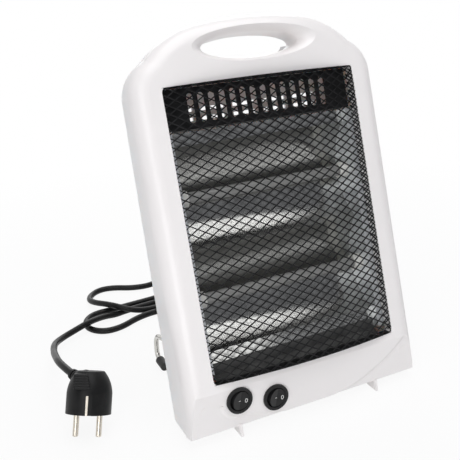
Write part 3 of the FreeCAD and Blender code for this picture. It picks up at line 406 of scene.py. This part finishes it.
def panel_edge():
    """Soft edge of the raised chin panel, in the body frame: ramps from the panel down to the chin below.

    On each arc, at angle p along it and share t across it, r = radius + t w, x = mx + r sin p,
    z = mz - r cos p and y = slope max(top - z, 0) + drop t^2 (3 - 2 t) - lift. Two points behind the ramp
    close each ring, and the width w shrinks where the arc comes near the casing's lower edge.
    """
    s = sizes()
    t = np.linspace(0.0, 1.0, PANEL_ACROSS)[None, :]
    parts = []
    for (middle_x, middle_z), radius, first, last in PANEL_ARCS:
        p = np.linspace(first, last, PANEL_ALONG)[:, None]
        room = (middle_z - radius * np.cos(p) - CHIN_BOTTOM) / np.cos(p)
        r = radius + t * np.minimum(s.panel_soft, ROOM_SHARE * room)
        x, z = middle_x + r * np.sin(p), middle_z - r * np.cos(p)
        y = CHIN_SLOPE * np.maximum(CHIN_TOP - z, 0.0) + s.panel_drop * t * t * (3 - 2 * t) - s.panel_lift
        front = np.stack([x, y, z], axis=-1)
        foot = front[:, -1:] + Y_AXIS * s.panel_root
        head = front[:, :1] + Y_AXIS * (s.panel_drop + s.panel_root)
        parts.append(skin(np.concatenate([front, foot, head], axis=1)))
    return joined(parts)


class HEATER_OT_casing(bpy.types.Operator):
    """Finish the front frame, the rear cover and the stand's clips, and soften the chin panel's edge"""
    bl_idname = "heater.casing"
    bl_label = "Casing"

    def execute(self, context):
        gloss = {"dark": 0.985, "light": 1.01, "cloud": 9.0, "grain": 1500.0, "rough": (0.27, 0.34),
                 "depth": 0.00003, "strength": 0.12}
        shell = finish("white_moulding", finishes().shell, **gloss)
        dress(shell, "front_frame", "stand_bracket_left", "stand_bracket_right")
        dress(finish("thin_moulding", finishes().shell, seep=0.6, **gloss), "rear_cover")
        corners, blocks = panel_edge()
        edge = new_mesh("panel_edge", carried(corners, TO_WORLD), blocks, shell)
        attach(edge, "heater")
        return {"FINISHED"}


def guard_arc():
    """Radius of the guard's bow, and the length of its arc from the middle to a side edge."""
    s = sizes()
    radius = (s.guard_half ** 2 + s.guard_bow ** 2) / (2 * s.guard_bow)
    return radius, radius * math.asin(s.guard_half / radius)


def guard_surface(u, w):
    """Bowed sheet: u runs round the bow's arc and then back along a side flange, w up and back likewise.

    Inside the window x = R sin(u / R), y = R cos(U / R) - R cos(u / R) and z = w, with U the arc's length
    to a side edge; past an edge the rest of u or w goes to y.
    """
    tall = sizes().guard_tall
    radius, reach = guard_arc()
    inside = np.clip(u, -reach, reach)
    x = radius * np.sin(inside / radius)
    z = np.clip(w, -tall, tall)
    y = radius * (math.cos(reach / radius) - np.cos(inside / radius))
    y = y + (np.abs(u) - np.abs(inside)) + (np.abs(w) - np.abs(z))
    return np.stack([x, y, z], axis=-1)


def strand(u, w, slant):
    """One strand: a flat bar over points u, w of the sheet, whose normal is the cross product of its slopes.

    The two families lie a quarter of a strand's thickness above and below the sheet.
    """
    s = sizes()
    step = s.strand_thick * SLOPE_STEP
    path = guard_surface(u, w)
    du = guard_surface(u + step, w) - guard_surface(u - step, w)
    dw = guard_surface(u, w + step) - guard_surface(u, w - step)
    up = unit(np.cross(dw, du))
    side = unit(np.cross(np.gradient(path, axis=0), up))
    return sweep(path + up * (slant * s.strand_thick / 4), side, up, s.strand_width, s.strand_thick)


def guard_strands():
    """Two families of strands, w = slant (u / wide - k) high for whole k, out to the ends of the flanges."""
    s = sizes()
    far_u = guard_arc()[1] + s.guard_flange
    rows = (s.guard_tall + s.guard_flange) / s.mesh_high
    count = int(far_u / s.mesh_wide + rows) + 1
    parts = []
    for slant in SIDES:
        for k in range(-count, count + 1):
            low = max(-far_u, s.mesh_wide * (k - rows))
            high = min(far_u, s.mesh_wide * (k + rows))
            if high - low < s.mesh_wide / 2:
                continue
            knots = max(3, int((high - low) / (s.mesh_wide / KNOTS_PER_DIAMOND)))
            u = np.linspace(low, high, knots)
            parts.append(strand(u, slant * (u / s.mesh_wide - k) * s.mesh_high, slant))
    return joined(parts)


def guard_edges_and_shade_strips():
    """Folded edges above and below the guard, and the black strips of painted shade: flat bars on paths
    along x.

    An edge follows the bow, y(u) + flange / 2 at z = + or - (height + thickness); a strip is straight.
    """
    s = sizes()
    reach = guard_arc()[1]
    u = np.linspace(-reach, reach, EDGE_KNOTS)
    parts = []
    for side in SIDES:
        path = guard_surface(u, np.full_like(u, side * (s.guard_tall + s.guard_flange / 2)))
        path = path + Z_AXIS * (side * s.edge_thick)
        parts.append(sweep(path, Y_AXIS, Z_AXIS, s.guard_flange, s.edge_thick))
    # Black strips of painted shade: they darken the white lips and the gap under the vent panel.
    for first, last, half in SHADE_STRIPS:
        run = np.array(last) - np.array(first)
        width = np.linalg.norm(run)
        path = np.array(first) + run / 2 + np.outer(np.linspace(-half, half, BAR_KNOTS), X_AXIS)
        parts.append(sweep(path, run / width, np.cross(X_AXIS, run / width), width, s.edge_thick))
    return joined(parts)


class HEATER_OT_guard(bpy.types.Operator):
    """Weave the guard's strands on the bowed sheet, fold its edges, lay black strips of painted shade and
    finish the dark sheets behind it
    """
    bl_idname = "heater.guard"
    bl_label = "Guard mesh"

    def execute(self, context):
        look = finishes()
        paint = finish("guard_paint", look.guard, dark=0.7, light=1.5, cloud=120.0, grain=2400.0,
                       rough=(0.35, 0.5), depth=0.00005, strength=0.3, specular=0.2)
        dress(paint, "vent_panel", "guard_mesh")
        corners, blocks = guard_strands()
        guard = new_mesh("guard_strands", carried(corners, TO_WORLD), blocks, paint)
        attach(guard, "heater")
        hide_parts("guard_mesh")
        # The folded edges come with the black strips of painted shade, in guard paint.
        corners, blocks = guard_edges_and_shade_strips()
        edges = new_mesh("guard_edges_and_shade_strips", carried(corners, TO_WORLD), blocks, paint)
        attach(edges, "heater")
        tray = finish("tray_paint", look.tray, dark=0.8, light=1.3, cloud=60.0, grain=1800.0, strength=0.15)
        dress(tray, "lower_baffle")
        return {"FINISHED"}


class HEATER_OT_heat(bpy.types.Operator):
    """Finish the reflector, its end plates, the tubes, their caps and the parts inside"""
    bl_idname = "heater.heat"
    bl_label = "Heating parts"

    def execute(self, context):
        look = finishes()
        sheet = finish("bright_sheet", look.sheet, dark=0.86, light=1.08, cloud=6.0, grain=60.0,
                       rough=(0.1, 0.16), depth=0.0003, strength=0.01, metallic=1.0,
                       stretch=(0.25, 4.0, 4.0))
        dress(sheet, "reflector")
        plate = finish("plate_sheet", look.plate, dark=0.9, light=1.06, cloud=40.0, grain=300.0,
                       depth=0.0001, strength=0.05, metallic=0.6)
        dress(plate, "reflector_end_left", "reflector_end_right")
        quartz = finish("milky_quartz", look.quartz, dark=0.9, light=1.08, cloud=60.0, grain=700.0,
                        rough=(0.12, 0.2), strength=0.1, coat=0.4)
        dress(quartz, "quartz_tube_upper", "quartz_tube_lower")
        ceramic = finish("cap_ceramic", look.ceramic, light=1.03, cloud=90.0, grain=1800.0,
                         rough=(0.5, 0.65), strength=0.3)
        dress(ceramic, "ceramic_cap_upper_left", "ceramic_cap_upper_right", "ceramic_cap_lower_left",
              "ceramic_cap_lower_right", "terminal_block")
        wire = finish("element_wire", look.zinc, dark=0.5, light=0.8, cloud=300.0, rough=(0.4, 0.6),
                      metallic=1.0)
        dress(wire, "heating_element_upper", "heating_element_lower")
        blade = finish("tinned_blade", look.nickel, dark=0.9, light=1.05, cloud=200.0, metallic=1.0)
        dress(blade, "switch_blades_left", "switch_blades_right")
        return {"FINISHED"}


def switch_frames():
    """World place of each switch at its pivot: columns u along the rocker, v along the pivot, n outwards."""
    slope = math.atan(CHIN_SLOPE)
    n = (TO_WORLD.to_3x3() @ Vector((0.0, -math.cos(slope), -math.sin(slope)))).normalized()
    places = {}
    for joint in frame["record"]["behaviour"]["joints"]:
        if not joint["name"].endswith("_rocker_tilt"):
            continue
        v = -Vector(joint["axis"]).normalized()
        u = v.cross(n).normalized()
        place = Matrix((u, v, n)).transposed().to_4x4()
        place.translation = Vector(joint["pos_m"])
        places[joint["child"]] = place
    return places


def on_face(place, along):
    """A place on one of a rocker's two faces, so far from the rocker's middle, turned flat to that face."""
    rise = ROCKER_FACE + abs(along) * math.tan(ROCKER_TILT)
    return (place @ Matrix.Rotation(ROCKER_TILT, 4, "Y") @ Matrix.Translation((along, 0.0, rise))
            @ Matrix.Rotation(-math.copysign(ROCKER_TILT, along), 4, "Y"))


def rocker_marks(place):
    """Ring and bar on a rocker: bars on the path (wide cos t, tall sin t) and on a straight line along x."""
    s = sizes()
    t = np.linspace(0.0, 2 * math.pi, RING_KNOTS, endpoint=False)
    circle = np.stack([np.cos(t), np.sin(t), np.zeros_like(t)], axis=1)
    oval = circle * np.array([s.ring_wide, s.ring_tall, 1.0])
    line = np.outer([-s.bar_half, 0.0, s.bar_half], X_AXIS)
    ring, ring_blocks = sweep(oval, circle, Z_AXIS, s.mark_line, s.mark_thick, closed=True)
    bar, bar_blocks = sweep(line, Y_AXIS, Z_AXIS, s.mark_line, s.mark_thick)
    return joined([(carried(ring, on_face(place, s.ring_reach)), ring_blocks),
                   (carried(bar, on_face(place, -s.bar_reach)), bar_blocks)])


class HEATER_OT_switches(bpy.types.Operator):
    """Finish the switches and put a ring and a bar on each rocker"""
    bl_idname = "heater.switches"
    bl_label = "Switches"

    def execute(self, context):
        look = finishes()
        black = finish("switch_black", look.switch, dark=0.8, light=1.3, cloud=160.0, grain=2600.0,
                       rough=(0.28, 0.4), strength=0.3, specular=0.25)
        dress(black, "switch_left", "switch_right", "rocker_left", "rocker_right")
        white = finish("mark_white", look.mark, dark=0.95, light=1.02, cloud=400.0, rough=(0.4, 0.5))
        for body, place in switch_frames().items():
            marks = new_mesh("marks_" + body, *rocker_marks(place), white)
            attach(marks, body)
        return {"FINISHED"}


class HEATER_OT_stand(bpy.types.Operator):
    """Finish the stand's wire, its rubber feet and the case screws"""
    bl_idname = "heater.stand"
    bl_label = "Stand"

    def execute(self, context):
        look = finishes()
        zinc = finish("bright_zinc", look.zinc, dark=0.9, light=1.06, cloud=140.0, grain=1500.0,
                      rough=(0.2, 0.3), strength=0.05, metallic=1.0)
        dress(zinc, "stand_wire", "case_screws")
        rubber = finish("foot_rubber", look.rubber, dark=0.75, light=1.35, cloud=220.0, grain=2200.0,
                        rough=(0.55, 0.7), strength=0.4)
        dress(rubber, "stand_foot_left", "stand_foot_right")
        return {"FINISHED"}


def lead_curve(points):
    """The lead: a round NURBS curve of order 3 through its route's points as controls, from end to end."""
    curve = bpy.data.curves.new("power_lead", "CURVE")
    curve.dimensions = "3D"
    spline = curve.splines.new("NURBS")
    spline.points.add(len(points) - 1)
    spline.points.foreach_set("co", np.column_stack([points, np.ones(len(points))]).ravel())
    spline.order_u = 3
    spline.use_endpoint_u = True
    spline.resolution_u = LEAD_STEPS
    curve.bevel_depth = sizes().cord_radius
    curve.bevel_resolution = LEAD_ROUNDNESS
    curve.use_fill_caps = True
    lead = bpy.data.objects.new("power_lead", curve)
    bpy.context.scene.collection.objects.link(lead)
    return lead


def grip_block():
    """Finger grip on the plug's side, in the plug's frame: a ridged profile in y and z swept along x.

    Face y = -(face + ridge (1 - cos(2 pi n v)) / 2) with v from 0 at the upper edge to 1 at the lower; the
    right end slants by slant (1 - v), and the outer rings draw in by the round.
    """
    s = sizes()
    v = np.linspace(0.0, 1.0, KNOTS_PER_RIDGE * s.grip_ridges + 1)
    y = -(s.grip_face + s.grip_ridge * (1 - np.cos(2 * math.pi * s.grip_ridges * v)) / 2)
    y = np.concatenate([[-s.grip_root], y, [-s.grip_root]])
    v = np.concatenate([[0.0], v, [1.0]])
    z = s.grip_high + (s.grip_low - s.grip_high) * v
    inwards = np.sign((s.grip_low + s.grip_high) / 2 - z)
    left = np.full_like(z, s.grip_left)
    right = s.grip_right - s.grip_slant * (1 - v)
    rings = []
    for x, inset in ((left, s.grip_round), (left + s.grip_round, 0.0), (right - s.grip_round, 0.0),
                     (right, s.grip_round)):
        rings.append(np.stack([x, np.minimum(y + inset, -s.grip_root), z + inwards * inset], axis=1))
    return skin(np.stack(rings))


def earth_strips():
    """Two narrow strips in the plug's grooves, in the plug's frame: bars along z at y = - and + reach."""
    s = sizes()
    up = np.outer(np.linspace(0.0, s.strip_tall, BAR_KNOTS), Z_AXIS)
    foot = X_AXIS * s.strip_place + Y_AXIS * s.strip_reach
    return joined([sweep(up + side * foot, X_AXIS, Y_AXIS, s.strip_width, s.strip_thick) for side in SIDES])


class HEATER_OT_lead(bpy.types.Operator):
    """Lay the lead on its route as one smooth curve and finish the plug"""
    bl_idname = "heater.lead"
    bl_label = "Lead and plug"

    def execute(self, context):
        look = finishes()
        points = np.array(CORD_ROUTE) * MM + np.array([0.0, ROUTE_SHIFT * MM, 0.0])
        lead = lead_curve(points)
        sheath = finish("lead_sheath", look.sheath, dark=0.75, light=1.4, cloud=70.0, grain=1800.0,
                        rough=(0.3, 0.42), strength=0.1, specular=0.22)
        lead.data.materials.append(sheath)
        dress(sheath, "cord_gland", "power_cord")
        plug = finish("plug_moulding", look.plug, dark=0.75, light=1.35, cloud=90.0, grain=2000.0,
                      rough=(0.38, 0.5), specular=0.2)
        dress(plug, "plug_body", "plug_boot")
        corners, blocks = grip_block()
        grip = new_mesh("plug_grip", carried(corners, PLUG_PLACE), blocks, plug)
        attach(grip, "heater")
        nickel = finish("pin_nickel", look.nickel, dark=0.92, light=1.05, cloud=180.0, rough=(0.26, 0.36),
                        strength=0.05, metallic=1.0)
        dress(nickel, "plug_pins", "plug_earth_clips")
        corners, blocks = earth_strips()
        strips = new_mesh("earth_strips", carried(corners, PLUG_PLACE), blocks, nickel)
        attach(strips, "heater")
        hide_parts("plug_earth_clips")
        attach(lead, "heater")
        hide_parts("power_cord")
        return {"FINISHED"}


def whitened(tree, surface, seen, mirrored, through, share=None):
    """Mixes plain white into a surface for the rays given, as much as the share says."""
    amount = combined(tree, "MAXIMUM", combined(tree, "MAXIMUM", seen, mirrored), through)
    if share is not None:
        amount = combined(tree, "MULTIPLY", amount, share)
    white = node(tree, "ShaderNodeEmission")
    white.inputs["Strength"].default_value = 1.0
    mix = node(tree, "ShaderNodeMixShader")
    tree.links.new(amount, mix.inputs["Fac"])
    tree.links.new(surface, mix.inputs[1])
    tree.links.new(white.outputs[0], mix.inputs[2])
    return mix.outputs[0]


def studio_floor():
    """The floor: a square whose white share for camera, glossy and transmission rays grows with distance."""
    material, tree, shader = shader_tree("studio_floor")
    shader.inputs["Base Color"].default_value = (*finishes().floor, 1.0)
    shader.inputs["Roughness"].default_value = FLOOR_ROUGHNESS
    shader.inputs["Specular IOR Level"].default_value = 0.0
    place = node(tree, "ShaderNodeTexCoord")
    away = node(tree, "ShaderNodeVectorMath", operation="LENGTH")
    tree.links.new(place.outputs["Object"], away.inputs[0])
    fade = map_range(tree, away.outputs["Value"], FADE_DISTANCES, FADE_SHARES)
    rays = node(tree, "ShaderNodeLightPath").outputs
    white = whitened(tree, shader.outputs[0], rays["Is Camera Ray"], rays["Is Glossy Ray"],
                     rays["Is Transmission Ray"], fade)
    tree.links.new(white, tree.nodes["Material Output"].inputs["Surface"])
    corners = FLOOR_REACH * np.array([(-1, -1, 0), (1, -1, 0), (1, 1, 0), (-1, 1, 0)])
    return new_mesh("studio_floor", corners, [np.arange(4)[None, :]], material)


def studio_world():
    """The world: pale light, white for camera and transmission rays, and for mirrored rays that go back."""
    world = bpy.data.worlds.new("studio")
    world.use_nodes = True
    tree = world.node_tree
    background = tree.nodes["Background"]
    background.inputs["Color"].default_value = (*WORLD_TINT, 1.0)
    background.inputs["Strength"].default_value = WORLD_STRENGTH
    place = node(tree, "ShaderNodeTexCoord")
    axes = node(tree, "ShaderNodeSeparateXYZ")
    tree.links.new(place.outputs["Generated"], axes.inputs[0])
    behind = map_range(tree, axes.outputs["Y"], MIRROR_STOPS, (0.0, 1.0))
    rays = node(tree, "ShaderNodeLightPath").outputs
    mirrored = combined(tree, "MULTIPLY", rays["Is Glossy Ray"], behind)
    white = whitened(tree, background.outputs[0], rays["Is Camera Ray"], mirrored,
                     rays["Is Transmission Ray"])
    tree.links.new(white, tree.nodes["World Output"].inputs["Surface"])
    return world


def area_lamp(name, place, width, power):
    """A round soft lamp that looks at the heater's middle."""
    lamp = bpy.data.lights.new(name, "AREA")
    lamp.shape = "DISK"
    lamp.size = width
    lamp.energy = power
    holder = bpy.data.objects.new(name, lamp)
    holder.location = place
    holder.rotation_euler = (LAMP_TARGET - Vector(place)).to_track_quat("-Z", "Y").to_euler()
    bpy.context.scene.collection.objects.link(holder)


def photo_camera():
    """The camera at the photograph's point of view."""
    camera = bpy.data.cameras.new("photo_camera")
    camera.lens = sizes().lens
    camera.sensor_width = SENSOR_WIDTH
    camera.clip_start = CLIP_START
    view = bpy.data.objects.new("photo_camera", camera)
    view.location = CAMERA_PLACE
    view.rotation_euler = Euler([math.radians(angle) for angle in CAMERA_TURN], "XYZ")
    bpy.context.scene.collection.objects.link(view)
    return view


class HEATER_OT_stage(bpy.types.Operator):
    """Set the pale floor, the soft light and the camera"""
    bl_idname = "heater.stage"
    bl_label = "Stage"

    def execute(self, context):
        scene = bpy.context.scene
        scene.view_settings.view_transform = "Standard"
        floor = studio_floor()
        scene.world = studio_world()
        for name, place, width, power in LAMPS:
            area_lamp(name, place, width, power)
        scene.camera = photo_camera()
        return {"FINISHED"}


class HEATER_PT_panel(bpy.types.Panel):
    """Lists the heater's pieces in the sidebar"""
    bl_idname = "HEATER_PT_panel"
    bl_label = "Quartz heater"
    bl_space_type = "VIEW_3D"
    bl_region_type = "UI"
    bl_category = "Heater"

    def draw(self, context):
        for operator in OPERATORS:
            self.layout.operator(operator.bl_idname)


OPERATORS = (HEATER_OT_stage, HEATER_OT_lead, HEATER_OT_casing, HEATER_OT_guard, HEATER_OT_heat,
             HEATER_OT_switches, HEATER_OT_stand)
CLASSES = (HeaterFinishes, HeaterSizes) + OPERATORS + (HEATER_PT_panel,)


def register():
    """Makes the classes and the two groups of settings known."""
    for cls in CLASSES:
        bpy.utils.register_class(cls)
    bpy.types.Scene.heater_finishes = PointerProperty(type=HeaterFinishes)
    bpy.types.Scene.heater_sizes = PointerProperty(type=HeaterSizes)


def unregister():
    """Takes them away again."""
    del bpy.types.Scene.heater_finishes
    del bpy.types.Scene.heater_sizes
    for cls in reversed(CLASSES):
        bpy.utils.unregister_class(cls)


def main():
    register()
    bpy.ops.heater.stage()
    bpy.ops.heater.lead()
    bpy.ops.heater.casing()
    bpy.ops.heater.guard()
    bpy.ops.heater.heat()
    bpy.ops.heater.switches()
    bpy.ops.heater.stand()


if __name__ == "__main__":
    main()
